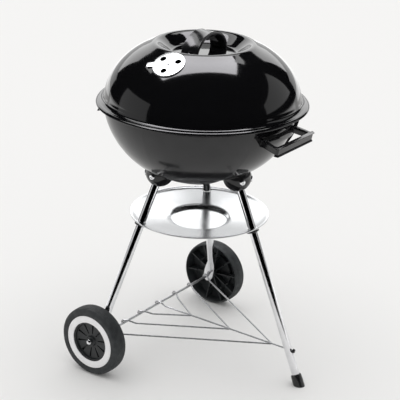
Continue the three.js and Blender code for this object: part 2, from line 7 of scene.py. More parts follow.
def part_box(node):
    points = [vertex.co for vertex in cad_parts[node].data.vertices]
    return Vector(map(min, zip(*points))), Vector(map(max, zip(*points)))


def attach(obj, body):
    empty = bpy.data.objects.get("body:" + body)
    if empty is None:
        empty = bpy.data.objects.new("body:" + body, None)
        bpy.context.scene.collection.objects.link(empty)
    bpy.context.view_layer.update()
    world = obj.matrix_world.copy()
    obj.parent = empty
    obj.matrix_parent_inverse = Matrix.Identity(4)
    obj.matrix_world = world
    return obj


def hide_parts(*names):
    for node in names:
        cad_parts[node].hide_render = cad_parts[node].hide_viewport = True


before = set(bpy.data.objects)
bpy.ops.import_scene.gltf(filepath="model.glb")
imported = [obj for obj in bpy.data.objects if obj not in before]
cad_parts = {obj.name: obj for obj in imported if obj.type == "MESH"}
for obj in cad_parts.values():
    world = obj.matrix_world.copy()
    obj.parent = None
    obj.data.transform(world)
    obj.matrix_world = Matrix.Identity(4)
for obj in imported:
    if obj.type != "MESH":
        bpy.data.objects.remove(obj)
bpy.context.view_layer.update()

# Camera: a long lens a little above the lid, seen from the side handle's corner. It comes first.
# The kettle's axis is the line through the middle of the bowl, and every piece is laid out about it.
bowl_low, bowl_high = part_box("bowl_shell")
axis_x = (bowl_low[0] + bowl_high[0]) / 2
view_azimuth, view_elevation, view_roll = map(math.radians, (35.17, 21.71, 1.70))
view_distance = 3.0734
view_shift = 0.0005
view_target = Vector((axis_x, 0, 0.37535))
view_back = Vector((math.sin(view_azimuth) * math.cos(view_elevation),
                    -math.cos(view_azimuth) * math.cos(view_elevation), math.sin(view_elevation)))
view_right = Vector((math.cos(view_azimuth), math.sin(view_azimuth), 0))
view_up = view_back.cross(view_right)
rolled_right = view_right * math.cos(view_roll) + view_up * math.sin(view_roll)
rolled_up = view_up * math.cos(view_roll) - view_right * math.sin(view_roll)
camera_data = bpy.data.cameras.new("camera")
camera_data.sensor_width = 36
camera_data.lens = 122.2
camera = bpy.data.objects.new("camera", camera_data)
bpy.context.collection.objects.link(camera)
turn = Matrix((rolled_right, rolled_up, view_back)).transposed().to_4x4()
view_point = view_target + view_right * view_shift + view_back * view_distance
camera.matrix_world = Matrix.Translation(view_point) @ turn
bpy.context.scene.camera = camera

# Studio: a plain pale floor, a pale surround, a soft light from above and behind, and white panels
# that show only as reflections in the enamel and the metal. The wide floor shows in no reflection;
# the near floor on it does, and it stops short in front, so the lid's lower front stays black.
bpy.context.scene.view_settings.view_transform = "Standard"
world = bpy.data.worlds.new("studio")
bpy.context.scene.world = world
world.use_nodes = True
surround = world.node_tree.nodes["Background"]
surround.inputs["Color"].default_value = (1, 1, 1, 1)
surround.inputs["Strength"].default_value = 0.66
world.cycles_visibility.glossy = False

bpy.ops.object.select_all(action="DESELECT")
bpy.ops.mesh.primitive_plane_add(size=40)
floor = bpy.context.object
floor.name = "studio_floor"
floor_paint = bpy.data.materials.new("floor_paint")
floor_paint.use_nodes = True
floor_shader = floor_paint.node_tree.nodes["Principled BSDF"]
floor_shader.inputs["Base Color"].default_value = (0.86, 0.855, 0.845, 1)
floor_shader.inputs["Roughness"].default_value = 1.0
floor_shader.inputs["Specular IOR Level"].default_value = 0.0
floor.data.materials.append(floor_paint)
floor.visible_glossy = False
floor_front, floor_back, floor_width, floor_step = 1.65, 9.0, 14.0, 0.00005
view_ground = Vector((math.sin(view_azimuth), -math.cos(view_azimuth), 0))
near_middle = view_ground * ((floor_front - floor_back) / 2) + Vector((0, 0, floor_step))
bpy.ops.object.select_all(action="DESELECT")
bpy.ops.mesh.primitive_plane_add(size=1, rotation=(0, 0, view_azimuth), location=near_middle)
near_floor = bpy.context.object
near_floor.name = "studio_near_floor"
near_floor.scale = (floor_width, floor_front + floor_back, 1)
near_floor.data.materials.append(floor_paint)

sky = bpy.data.lights.new("soft_light", "SUN")
sky.energy = 1.35
sky.angle = math.radians(95)
sky_lamp = bpy.data.objects.new("soft_light", sky)
sky_lamp.rotation_euler = Vector((-0.17, 0.25, 0.95)).to_track_quat("Z", "Y").to_euler()
sky_lamp.visible_glossy = False
bpy.context.collection.objects.link(sky_lamp)


def panel(name, centre, facing, width, height, brightness, colour=(1, 1, 1)):
    """A flat white studio panel, seen in reflections only."""
    light = bpy.data.lights.new(name, "AREA")
    light.shape = "RECTANGLE"
    light.size, light.size_y = width, height
    light.energy = brightness * width * height * math.pi
    light.color = colour
    lamp = bpy.data.objects.new(name, light)
    lamp.rotation_euler = (-Vector(facing)).to_track_quat("Z", "Y").to_euler()
    lamp.location = centre
    lamp.visible_camera = False
    lamp.visible_diffuse = False
    bpy.context.collection.objects.link(lamp)
    return lamp


overhead_turn = math.radians(44)
overhead = panel("overhead_panel", (-0.45, 0.16, 2.5), (0, 0, -1), 2.15, 0.78, 9, (1, 0.985, 1.02))
overhead.rotation_euler.z = overhead_turn
overhead_fill = panel("overhead_fill", (-0.97, 0.70, 2.5), (0, 0, -1), 2.6, 0.7, 3.0)
overhead_fill.rotation_euler.z = overhead_turn
panel("back_panel", (-1.9, 2.3, 1.98), (0.55, -0.83, 0), 4.4, 1.56, 2.1)
panel("back_low_panel", (-1.9, 2.3, 0.6), (0.55, -0.83, 0), 5.6, 1.2, 0.9)
panel("right_panel", (2.9, 2.0, 1.65), (0, -1, 0), 4.2, 1.5, 0.7)
panel("right_low_panel", (1.55, 1.09, 0.2), (-0.82, -0.57, 0), 3.0, 0.4, 0.8)
panel("left_low_panel", (-1.55, -1.09, 0.2), (0.82, 0.57, 0), 3.0, 0.4, 0.85)
panel("left_panel", (-1.66, -1.45, 0.95), (0.753, 0.658, 0), 1.7, 1.1, 0.6)

# Lid: one deep-drawn steel dome, black glass enamel inside and out, with a round dish pressed into
# its top for the handle and a rolled brim that sits over the bowl's rim.
rim_z = 613.6
lid_radius, lid_rise, lid_power = 217.6, 145.0, (2.30, 1.91)
sheet_wall = 1.2
lid_turn = math.radians(4.2)
dish_floor_z = 721.5


def trace(points):
    """A line of edges through points in millimetres about the kettle's axis, left in edit mode."""
    seed_size = 0.01
    if bpy.context.mode != "EDIT_MESH":
        bpy.ops.object.select_all(action="DESELECT")
        bpy.ops.mesh.primitive_plane_add(size=seed_size)
        bpy.ops.object.mode_set(mode="EDIT")
    else:
        bpy.ops.mesh.select_all(action="DESELECT")
        bpy.ops.mesh.primitive_plane_add(size=seed_size)
    bpy.ops.mesh.select_mode(type="VERT")
    bpy.ops.mesh.merge(type="CENTER")
    places = [Vector(point) / 1000 for point in points]
    bpy.ops.transform.translate(value=places[0])
    for before, after in zip(places, places[1:]):
        bpy.ops.mesh.extrude_region_move(TRANSFORM_OT_translate={"value": after - before})


def closed_up():
    """Merges doubled points, points the faces outwards and leaves edit mode."""
    bpy.ops.mesh.select_all(action="SELECT")
    bpy.ops.mesh.remove_doubles(threshold=1e-5)
    bpy.ops.mesh.normals_make_consistent(inside=False)
    bpy.ops.object.mode_set(mode="OBJECT")
    return bpy.context.object


def turned(profile, steps=96):
    """A body of revolution about Z from (radius, height) pairs in millimetres."""
    trace([(radius, 0, height) for radius, height in profile])
    bpy.ops.mesh.select_all(action="SELECT")
    bpy.ops.mesh.spin(steps=steps, angle=math.tau, center=(0, 0, 0), axis=(0, 0, 1))
    return closed_up()


def rounded(corners, steps=5):
    """(radius, height, cut) corners with each corner eased over its cut length."""
    line = []
    for i, (r, z, cut) in enumerate(corners):
        here = Vector((r, z))
        if cut == 0 or i in (0, len(corners) - 1):
            line.append((r, z))
            continue
        before, after = Vector(corners[i - 1][:2]), Vector(corners[i + 1][:2])
        enter = here + (before - here).normalized() * cut
        leave = here + (after - here).normalized() * cut
        for k in range(steps + 1):
            t = k / steps
            line.append(tuple(enter * (1 - t) ** 2 + here * (2 * t * (1 - t)) + leave * t * t))
    return line


def plate(outline, push):
    """A flat plate: a closed outline of points, filled and pushed out by a vector, in millimetres."""
    trace(outline)
    bpy.ops.mesh.select_all(action="SELECT")
    bpy.ops.mesh.edge_face_add()
    bpy.ops.mesh.extrude_region_move(TRANSFORM_OT_translate={"value": tuple(part / 1000 for part in push)})
    return closed_up()


def alone(piece):
    """Makes a piece the only one selected, and the active one."""
    bpy.ops.object.select_all(action="DESELECT")
    piece.select_set(True)
    bpy.context.view_layer.objects.active = piece


def modified(piece, kind, **settings):
    """Adds a modifier with these settings and applies it."""
    alone(piece)
    modifier = piece.modifiers.new(kind.lower(), kind)
    for name, value in settings.items():
        setattr(modifier, name, value)
    bpy.ops.object.modifier_apply(modifier=modifier.name)


def combined(piece, tools, operation="DIFFERENCE"):
    """Cuts the tools away from a piece, or joins them to it, and removes them."""
    for tool in tools:
        modified(piece, "BOOLEAN", object=tool, operation=operation, solver="EXACT")
        bpy.data.objects.remove(tool)


def stood(piece, base=(0, 0, 0), direction=(0, 0, 1), spin_z=0.0):
    """Stands a piece made about Z on a point in millimetres, its axis along a direction."""
    alone(piece)
    aim = Vector((0, 0, 1)).rotation_difference(Vector(direction).normalized())
    move = Matrix.Translation(Vector(base) / 1000) @ aim.to_matrix().to_4x4()
    piece.matrix_world = Matrix.Rotation(spin_z, 4, "Z") @ move
    bpy.ops.object.transform_apply(location=True, rotation=True, scale=True)
    return piece


def drill(base, direction, length, radius, sides=40):
    """A plain round cutter from a point along a direction."""
    bpy.ops.object.select_all(action="DESELECT")
    bpy.ops.mesh.primitive_cylinder_add(vertices=sides, radius=radius / 1000, depth=length / 1000,
                                        location=(0, 0, length / 2000))
    bpy.ops.object.transform_apply(location=True)
    return stood(bpy.context.object, base, direction)


def finished(piece, name, material, body, slot, *nodes, sharp=35):
    """Names a piece, moves it to the kettle's place in the frame, and gives it its finish and body."""
    alone(piece)
    piece.name = piece.data.name = name
    piece.location.x += axis_x
    bpy.ops.object.transform_apply(location=True, rotation=True, scale=True)
    bpy.ops.object.shade_smooth_by_angle(angle=math.radians(sharp))
    piece.data.materials.clear()
    piece.data.materials.append(material)
    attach(piece, body)
    if nodes:
        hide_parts(*nodes)
    return piece


def surface(name, colour, roughness, metallic=0.0):
    """A material whose shader has these values."""
    material = bpy.data.materials.new(name)
    material.use_nodes = True
    shader = material.node_tree.nodes["Principled BSDF"]
    shader.inputs["Base Color"].default_value = (*colour, 1)
    shader.inputs["Roughness"].default_value = roughness
    shader.inputs["Metallic"].default_value = metallic
    return material


def noise(material, scale, detail=3.0, stretch=(1, 1, 1), turn=(0, 0, 0)):
    """Noise on the piece's own coordinates, in cycles per metre; returns its output."""
    nodes, links = material.node_tree.nodes, material.node_tree.links
    place = nodes.new("ShaderNodeTexCoord")
    mapping = nodes.new("ShaderNodeMapping")
    mapping.inputs["Scale"].default_value = stretch
    mapping.inputs["Rotation"].default_value = turn
    texture = nodes.new("ShaderNodeTexNoise")
    texture.inputs["Scale"].default_value = scale
    texture.inputs["Detail"].default_value = detail
    links.new(place.outputs["Object"], mapping.inputs["Vector"])
    links.new(mapping.outputs["Vector"], texture.inputs["Vector"])
    return texture.outputs["Fac"]


def spread(material, source, low, high, target, start=0.3, end=0.7):
    """Maps a pattern to a range of values on one of the shader's sockets."""
    nodes, links = material.node_tree.nodes, material.node_tree.links
    ramp = nodes.new("ShaderNodeMapRange")
    for socket, value in (("From Min", start), ("From Max", end), ("To Min", low), ("To Max", high)):
        ramp.inputs[socket].default_value = value
    links.new(source, ramp.inputs["Value"])
    links.new(ramp.outputs["Result"], nodes["Principled BSDF"].inputs[target])


def tinted(material, source, low, high, start=0.35, end=0.65):
    """Varies the base colour between two tones with a pattern."""
    nodes, links = material.node_tree.nodes, material.node_tree.links
    ramp = nodes.new("ShaderNodeValToRGB")
    ramp.color_ramp.elements[0].position, ramp.color_ramp.elements[1].position = start, end
    ramp.color_ramp.elements[0].color = (*low, 1)
    ramp.color_ramp.elements[1].color = (*high, 1)
    links.new(source, ramp.inputs["Fac"])
    links.new(ramp.outputs["Color"], nodes["Principled BSDF"].inputs["Base Color"])


def bumped(material, source, strength, distance):
    """Raises the surface with a pattern; a second call adds to the first."""
    nodes, links = material.node_tree.nodes, material.node_tree.links
    bump = nodes.new("ShaderNodeBump")
    bump.inputs["Strength"].default_value = strength
    bump.inputs["Distance"].default_value = distance
    links.new(source, bump.inputs["Height"])
    normal = nodes["Principled BSDF"].inputs["Normal"]
    if normal.is_linked:
        links.new(normal.links[0].from_socket, bump.inputs["Normal"])
    links.new(bump.outputs["Normal"], normal)


# Glass enamel fired on steel: deep black, with the faint ripple and pinprick specks of the firing.
enamel = surface("black_enamel", (0.004, 0.004, 0.0045), 0.07)
enamel.node_tree.nodes["Principled BSDF"].inputs["IOR"].default_value = 1.5
tinted(enamel, noise(enamel, 900, 2), (0.0035, 0.0035, 0.004), (0.006, 0.0062, 0.007), 0.5, 0.75)
spread(enamel, noise(enamel, 14, 4), 0.05, 0.1, "Roughness")
bumped(enamel, noise(enamel, 60, 2), 0.005, 0.0004)


def superellipse(radius, rise, powers, start, end, steps):
    """Points of a superellipse arc, from angle start to angle end, as (radius, rise)."""
    across, up = powers
    arc = []
    for i in range(steps + 1):
        t = start + (end - start) * i / steps
        arc.append((radius * math.cos(t) ** (2 / across), rise * math.sin(t) ** (2 / up)))
    return arc


def eased(points, steps=5):
    """A smooth curve through the points."""
    line = []
    ends = [points[0], *points, points[-1]]
    for a, b, c, d in zip(ends, ends[1:], ends[2:], ends[3:]):
        for k in range(steps):
            t = k / steps
            line.append(tuple(0.5 * (2 * q + (r - p) * t + (2 * p - 5 * q + 4 * r - s) * t * t
                                     + (3 * q - p - 3 * r + s) * t ** 3)
                              for p, q, r, s in zip(a, b, c, d)))
    return line + [points[-1]]


dish_line = eased([(0.0, 0.0), (40, 0), (64, 0), (70.5, 0.25), (76.5, 2.9), (86, 10.7), (96, 18.4),
                   (102, 21.4), (107, 22.1), (113, 20.7), (121, 16.1)], 4)
dome_line = [(r, rim_z + z) for r, z in
             superellipse(lid_radius, lid_rise, lid_power, 0.985, 0.1, 34)]
lid_line = [(r, dish_floor_z + z) for r, z in dish_line if r < 119]
lid_line += [point for point in dome_line if point[0] > 125 and point[1] > rim_z + 12]
brim_radius = 235
brim_line = eased([(0, 10.5), (0.9, 6.2), (2.5, 3.6), (4.9, 1.9), (7.3, 0.9), (9.4, 0.5), (11.6, 0.25),
                   (13.8, -0.5), (15.6, -1.6), (16.9, -3.0), (17.4, -4.4), (16.9, -5.2), (15.2, -5.2),
                   (13.4, -4.6)], 3)
lid_line += [(lid_radius + r, rim_z + z) for r, z in brim_line]
lid = turned(lid_line, 160)
modified(lid, "SOLIDIFY", thickness=sheet_wall / 1000, offset=-1)

# Damper holes through the dome's slope and bolt holes through the dish.
vent_rho = 142.9
vent_z = rim_z + lid_rise * (1 - (vent_rho / lid_radius) ** lid_power[0]) ** (1 / lid_power[1])
slope_out = lid_power[0] / lid_radius * (vent_rho / lid_radius) ** (lid_power[0] - 1)
slope_up = lid_power[1] / lid_rise * ((vent_z - rim_z) / lid_rise) ** (lid_power[1] - 1)
vent_axis = Vector((0, -slope_out, slope_up)).normalized()
vent_centre = Vector((0, -vent_rho, vent_z))
vent_aim = Vector((0, 0, 1)).rotation_difference(vent_axis)
hole_ring, hole_radius = 21.2, 7.0
bolt_y = 60.5


def vent_drills(depth=24):
    """Drills along the vent's axis for its three air holes and its rivet."""
    tools = []
    for degrees in (-90, 30, 150):
        across = Vector((hole_ring * math.cos(math.radians(degrees)),
                         hole_ring * math.sin(math.radians(degrees)), -depth / 2))
        tools.append(drill(vent_centre + vent_aim @ across, vent_axis, depth, hole_radius))
    tools.append(drill(vent_centre + vent_aim @ Vector((0, 0, -depth / 2)), vent_axis, depth, 2.5))
    return tools


lid_tools = vent_drills()
for side in (-1, 1):
    lid_tools.append(drill((0, side * bolt_y, dish_floor_z - 8), (0, 0, 1), 16, 3))
combined(lid, lid_tools)
stood(lid, spin_z=lid_turn)
finished(lid, "lid_dome", enamel, "lid", "enamel", "lid_shell", sharp=50)

# Arch handle: one glass-filled plastic moulding, a band with raised rims down both edges of its
# outer face. It is bolted up from under the dish, with a moulded screw recess in each foot.
handle_base, handle_top = dish_floor_z + 0.3, 769.0
handle_half, handle_width, arch_power = 67.0, 38.0, 2 / 1.9


def arch(half, rise, steps=40):
    """Points of the handle's bowed arch, along Y, at its left edge."""
    line = []
    for i in range(steps + 1):
        t = math.pi * i / steps
        along = -half * math.copysign(abs(math.cos(t)) ** arch_power, math.cos(t))
        line.append((-handle_width / 2, along, handle_base + rise * math.sin(t) ** arch_power))
    return line


trace(arch(handle_half, handle_top - handle_base))
trace(arch(handle_half - 11, handle_top - handle_base - 7))
bpy.ops.mesh.select_all(action="SELECT")
bpy.ops.mesh.bridge_edge_loops()
bpy.ops.mesh.extrude_region_move(TRANSFORM_OT_translate={"value": (handle_width / 1000, 0, 0)})
handle = closed_up()
arch_middle = Vector((0, 0, handle_base / 1000))


def pick_faces(piece, chosen):
    """Selects the faces that the test chooses, and goes to edit mode."""
    alone(piece)
    bpy.ops.object.mode_set(mode="EDIT")
    bpy.ops.mesh.select_mode(type="FACE")
    bpy.ops.mesh.select_all(action="DESELECT")
    bpy.ops.object.mode_set(mode="OBJECT")
    for face in piece.data.polygons:
        face.select = chosen(face)
    bpy.ops.object.mode_set(mode="EDIT")


pick_faces(handle, lambda face: abs(face.normal.x) < 0.5 and face.normal.z > -0.5
           and face.normal.dot(face.center - arch_middle) > 0)
bpy.ops.mesh.inset(thickness=0.0045, depth=-0.0018)
bpy.ops.object.mode_set(mode="OBJECT")
modified(handle, "BEVEL", width=0.0009, segments=2, limit_method="ANGLE", angle_limit=math.radians(40))
recesses = []
for side in (-1, 1):
    recesses.append(drill((0, side * 70, handle_base + 12), (0, -side, 0), 9, 3))
    recesses.append(drill((0, side * bolt_y, handle_base - 1), (0, 0, 1), 14, 3))
combined(handle, recesses)
stood(handle, spin_z=lid_turn)
plastic = surface("black_moulding", (0.009, 0.009, 0.010), 0.16)
tinted(plastic, noise(plastic, 40, 4), (0.007, 0.007, 0.008), (0.012, 0.012, 0.013))
spread(plastic, noise(plastic, 60, 5), 0.12, 0.22, "Roughness")
bumped(plastic, noise(plastic, 1500, 2), 0.05, 0.0001)
finished(handle, "lid_arch", plastic, "lid", "black_plastic", "lid_handle")

# Bolts through the dish into the handle's feet: domed zinc-plated heads with a cross recess.
chrome = surface("bright_chrome", (0.80, 0.81, 0.83), 0.06, 1.0)
tinted(chrome, noise(chrome, 30, 4), (0.74, 0.75, 0.77), (0.86, 0.865, 0.88))
spread(chrome, noise(chrome, 90, 5), 0.035, 0.10, "Roughness")
bumped(chrome, noise(chrome, 260, 3), 0.04, 0.0001)


def cross_cutter(width, depth, height):
    """Two crossed bars that cut a cross recess down into a head."""
    bars = []
    for spin in (0, math.pi / 2):
        bpy.ops.object.select_all(action="DESELECT")
        bpy.ops.mesh.primitive_cube_add(size=0.001, location=(0, 0, height / 1000))
        bar = bpy.context.object
        bar.scale = (width, width * 0.26, depth * 2)
        bar.rotation_euler.z = spin
        bpy.ops.object.transform_apply(location=True, rotation=True, scale=True)
        bars.append(bar)
    return bars


def domed_bolt(head, height, shank, length, recess=True):
    """A bolt along Z with a domed head from z = 0 up to its bearing face, then its shank."""
    line = rounded([(0, 0, 0), (head * 0.55, 0.15 * height, 0.6), (head, 0.75 * height, 0.9),
                    (head, height, 0.25), (shank, height, 0.2), (shank, length, 0.5), (0, length, 0)], 4)
    bolt = turned(line, 32)
    if recess:
        combined(bolt, cross_cutter(head * 1.1, height * 0.35, 0))
    return bolt


for name, side in (("left", -1), ("right", 1)):
    bolt = domed_bolt(6.4, 3.9, 2.6, 16)
    stood(bolt, (0, side * bolt_y, dish_floor_z - sheet_wall - 4.1), (0, 0, 1))
    stood(bolt, spin_z=lid_turn)
    finished(bolt, f"arch_bolt_{name}", chrome, "lid", "chrome", f"lid_handle_bolt_{name}")

# Lid damper: a pressed satin chrome disc with three air holes and a thumb tab, on a hollow rivet.
# It turns over the holes in the dome; its edge is turned down a little.
bow_radius, vent_lift, vent_skin, vent_radius = 283.0, 1.0, 1.3, 36.0
upper = [(r, vent_lift + vent_skin - r * r / (2 * bow_radius)) for r in (0.0, 6, 12, 18, 24, 30, 34.4)]
lower = [(r, z - vent_skin) for r, z in upper]
edge_z = upper[-1][1]
disc_line = upper + [(35.3, edge_z - 0.25), (35.9, edge_z - 0.8), (36, edge_z - 1.5),
                     (35.2, edge_z - 1.9)] + lower[::-1]
damper = turned(disc_line, 96)
tab_half, tab_inner, tab_outer = 6.5, 30.0, 49.5
tab_z = vent_lift - tab_outer ** 2 / (2 * bow_radius) + 1.6
tab_outline = rounded([(tab_inner, -tab_half, 0), (tab_outer, -tab_half, 3.5),
                       (tab_outer, tab_half, 3.5), (tab_inner, tab_half, 0)], 6)
tab = plate([(x, y, tab_z) for x, y in tab_outline], (0, 0, vent_skin))
modified(tab, "BEVEL", width=0.0003, segments=2, limit_method="ANGLE", angle_limit=math.radians(40))
stood(tab, spin_z=math.radians(194))
combined(damper, [tab], "UNION")
stood(damper, vent_centre, vent_axis)
combined(damper, vent_drills())
stood(damper, spin_z=lid_turn)
satin = surface("satin_chrome", (0.62, 0.625, 0.63), 0.3, 1.0)
tinted(satin, noise(satin, 40, 4), (0.58, 0.585, 0.59), (0.66, 0.665, 0.67))
spread(satin, noise(satin, 120, 4), 0.22, 0.32, "Roughness")
finished(damper, "lid_damper_disc", satin, "lid_damper", "chrome", "lid_damper", sharp=30)
rivet = turned(rounded([(0, -6.5, 0), (4, -6.5, 0.6), (4.4, -4.7, 0.3), (2, -4.7, 0.2),
                        (2, 2.75, 0.2), (4, 2.75, 0.3), (3.7, 4.1, 0.9), (1.5, 4.4, 0.3),
                        (1.3, -3, 0.2), (0, -3, 0)], 3), 32)
stood(rivet, vent_centre, vent_axis)
stood(rivet, spin_z=lid_turn)
finished(rivet, "lid_damper_pin", chrome, "lid", "chrome", "lid_damper_rivet")

# Bowl: the deeper enamelled steel pressing that holds the fire, its top edge rolled over into a
# hollow bead, with three air holes in the bottom.
bowl_radius, bowl_depth, bowl_power = 211.3, 161.4, (2.51, 1.67)
bowl_top = rim_z - 10


def bowl_z(rho):
    return bowl_top - bowl_depth * (1 - (rho / bowl_radius) ** bowl_power[0]) ** (1 / bowl_power[1])


def bowl_line(grow=0.0, steps=44):
    arc = superellipse(bowl_radius + grow, bowl_depth + grow, bowl_power, math.pi / 2, 0.03, steps)
    return [(0, bowl_top - bowl_depth - grow)] + [(r, bowl_top - z) for r, z in arc[1:]]


def bowl_normal(rho, degrees):
    out = bowl_power[0] / bowl_radius * (rho / bowl_radius) ** (bowl_power[0] - 1)
    down = bowl_power[1] / bowl_depth * ((bowl_top - bowl_z(rho)) / bowl_depth) ** (bowl_power[1] - 1)
    angle = math.radians(degrees)
    return Vector((out * math.cos(angle), out * math.sin(angle), -down)).normalized()


def bowl_point(rho, degrees):
    angle = math.radians(degrees)
    return Vector((rho * math.cos(angle), rho * math.sin(angle), bowl_z(rho)))


rim_line = rounded([(bowl_radius, bowl_top - 0.6, 0), (bowl_radius + 1, bowl_top + 2.0, 1.6),
                    (bowl_radius + 12, bowl_top + 0.9, 2), (bowl_radius + 18, bowl_top + 0.9, 3),
                    (bowl_radius + 18, bowl_top + 5.3, 2), (bowl_radius + 9, bowl_top + 5.3, 2),
                    (bowl_radius + 1.5, bowl_top + 5.3, 0)], 5)
bowl = turned(bowl_line() + rim_line, 160)
modified(bowl, "SOLIDIFY", thickness=sheet_wall / 1000, offset=-1)
bowl_vent_ring, bowl_hole_radius, bottom_pin_radius = 28.0, 9.0, 3.4


def bottom_drill(ring, degrees, radius):
    """An upright drill through the bowl's bottom, this far from the axis."""
    angle = math.radians(degrees)
    return drill((ring * math.cos(angle), ring * math.sin(angle), 430), (0, 0, 1), 30, radius)


def bowl_vent_drills():
    return [bottom_drill(bowl_vent_ring, degrees, bowl_hole_radius) for degrees in (60, 180, 300)]


bowl_tools = [*bowl_vent_drills(), bottom_drill(0, 0, bottom_pin_radius)]
leg_angles = {"front": 0, "left": -120, "right": 120}
socket_bolt_rho, side_bolt_rho, bolt_seat = 78.0, 207.6, sheet_wall + 4.2
side_bolts = {"front_left": -16.6, "front_right": 16.6, "rear_left": 196.6, "rear_right": 163.4}
fixing_places = [(socket_bolt_rho, degrees) for degrees in leg_angles.values()]
fixing_places += [(side_bolt_rho, degrees) for degrees in side_bolts.values()]
for rho, degrees in fixing_places:
    normal = bowl_normal(rho, degrees)
    bowl_tools.append(drill(bowl_point(rho, degrees) - normal * 8, normal, 16, 3.2))
combined(bowl, bowl_tools)
finished(bowl, "bowl_pan", enamel, "stand", "enamel", "bowl_shell", sharp=50)

# Bowl damper: a flat aluminium disc under the bowl with a turned-down lever tip; one rivet.
aluminium = surface("polished_aluminium", (0.82, 0.83, 0.84), 0.16, 1.0)
tinted(aluminium, noise(aluminium, 26, 4), (0.77, 0.78, 0.79), (0.87, 0.875, 0.885))
bowl_vent_z = bowl_top - bowl_depth - 0.5
shutter_radius, shutter_sheet = 45, 1.8
shutter = turned(rounded([(0, bowl_vent_z - shutter_sheet, 0),
                          (shutter_radius, bowl_vent_z - shutter_sheet, 0.6),
                          (shutter_radius, bowl_vent_z, 0.6), (0, bowl_vent_z, 0)], 3), 80)
lever_outline = rounded([(38, -7, 0), (78, -7, 2), (80, -4, 1), (80, 4, 1), (78, 7, 2), (38, 7, 0)], 4)
lever = plate([(x, y, bowl_vent_z - shutter_sheet) for x, y in lever_outline], (0, 0, shutter_sheet))
tip_outline = rounded([(-9, -0.2, 0), (-9, -10.9, 3), (9, -10.9, 3), (9, -0.2, 0)], 5)
lever_tip = plate([(78.2, y, z + bowl_vent_z) for y, z in tip_outline], (shutter_sheet, 0, 0))
combined(lever, [lever_tip], "UNION")
stood(lever, spin_z=math.radians(155))
combined(shutter, [lever], "UNION")
combined(shutter, [bottom_drill(0, 0, bottom_pin_radius), *bowl_vent_drills()])
finished(shutter, "bowl_damper_disc", aluminium, "bowl_damper", "aluminium", "bowl_damper")
pin = turned([(r, z + bowl_vent_z) for r, z in rounded(
    [(0, -5.2, 0), (5, -5.2, 1), (6.4, -2.4, 0.5), (2.9, -2.4, 0.2), (2.9, 3.2, 0.2), (6, 3.2, 0.5),
     (5, 5.2, 1), (0, 5.7, 0)], 3)], 36)
finished(pin, "bowl_damper_pin", chrome, "stand", "chrome", "bowl_damper_rivet")

# Side handles: closed plastic loops with a channel moulded round their outer face. The grip bar is
# deeper than the two arms, and the root follows the bowl's wall, where two bolts hold it.
side_reach, side_height, side_tilt, side_top = 249.0, 20.0, math.radians(12), 572.8


def bowl_plug(grow):
    """A solid of the bowl's outside, grown a little, that cuts pieces to fit against it."""
    return turned(bowl_line(grow, 32) + [(bowl_radius + grow, bowl_top + 12), (0, bowl_top + 12)], 96)


def slab(outline, low, high):
    """A level plate of an (x, y) outline, between two heights."""
    return plate([(x, y, low) for x, y in outline], (0, 0, high - low))


def mirrored(corners):
    """An outline from its half with y above zero, and the same half mirrored."""
    return [(x, -y, cut) for x, y, cut in corners] + [(x, y, cut) for x, y, cut in corners[::-1]]


def side_loop():
    outer = mirrored([(190 - side_reach, 66, 0), (-7, 73, 3), (0, 69.5, 3)])
    inner = mirrored([(-36, 22, 0), (-39.5, 44, 3), (-43.5, 56, 2), (-16, 62.5, 3), (-12, 58.5, 2)])
    loop = slab(rounded(outer, 5), -side_height, 0)
    pick_faces(loop, lambda face: abs(face.normal.z) < 0.5 and face.normal.x > -0.5)
    bpy.ops.mesh.inset(thickness=0.0042, depth=-0.003)
    bpy.ops.object.mode_set(mode="OBJECT")
    waist_outline = [(-80, -90), (-9.5, -90), (-9.5, 90), (-80, 90)]
    combined(loop, [slab(rounded(inner, 5), -40, 20), slab(waist_outline, -2.4, 5),
                    slab(waist_outline, -30, -16.4)])
    modified(loop, "BEVEL", width=0.0008, segments=2, limit_method="ANGLE", angle_limit=math.radians(40))
    loop.matrix_world = (Matrix.Translation((side_reach / 1000, 0, side_top / 1000))
                         @ Matrix.Rotation(side_tilt, 4, "Y"))
    alone(loop)
    bpy.ops.object.transform_apply(location=True, rotation=True, scale=True)
    root = bowl_plug(6.2)
    combined(root, [slab([(0, -90), (0, 90), (-300, 90), (-300, -90)], 400, 700)])
    combined(root, [slab([(0, 62), (300, 62), (300, 300), (0, 300)], 400, 700),
                    slab([(0, -62), (300, -62), (300, -300), (0, -300)], 400, 700),
                    slab([(-10, -90), (300, -90), (300, 90), (-10, 90)], 300, 564),
                    slab([(-10, -90), (300, -90), (300, 90), (-10, 90)], 577, 700)])
    combined(loop, [root], "UNION")
    combined(loop, [bowl_plug(0.5)])
    return loop


for end, spin in (("front", 0.0), ("rear", math.pi)):
    loop = side_loop()
    stood(loop, spin_z=spin)
    finished(loop, f"side_loop_{end}", plastic, "stand", "black_plastic", f"side_handle_{end}")
for name, degrees in side_bolts.items():
    normal = bowl_normal(side_bolt_rho, degrees)
    bolt = domed_bolt(6.5, 4, 2.7, 14)
    stood(bolt, bowl_point(side_bolt_rho, degrees) - normal * bolt_seat, normal)
    finished(bolt, f"side_loop_bolt_{name}", chrome, "stand", "chrome", f"side_handle_bolt_{name}")

# Leg sockets: moulded half balls bolted up against the bowl from inside it. Each takes the top of
# one leg in a bore and grips it with two bright screws.
socket_radius, socket_rho, socket_z = 32.0, 99.0, 455.5
leg_rho, leg_z, leg_top_z, tube_radius = 104.0, 440.0, 451.0, 9.0
foot_point = Vector((285, 0, 8))
axle_x, axle_z, leg_end_y = -114.0, 80.0, 208.0
tab_up = Vector((0.17, 0, 1)).normalized()


def polar(rho, degrees, z):
    angle = math.radians(degrees)
    return Vector((rho * math.cos(angle), rho * math.sin(angle), z))


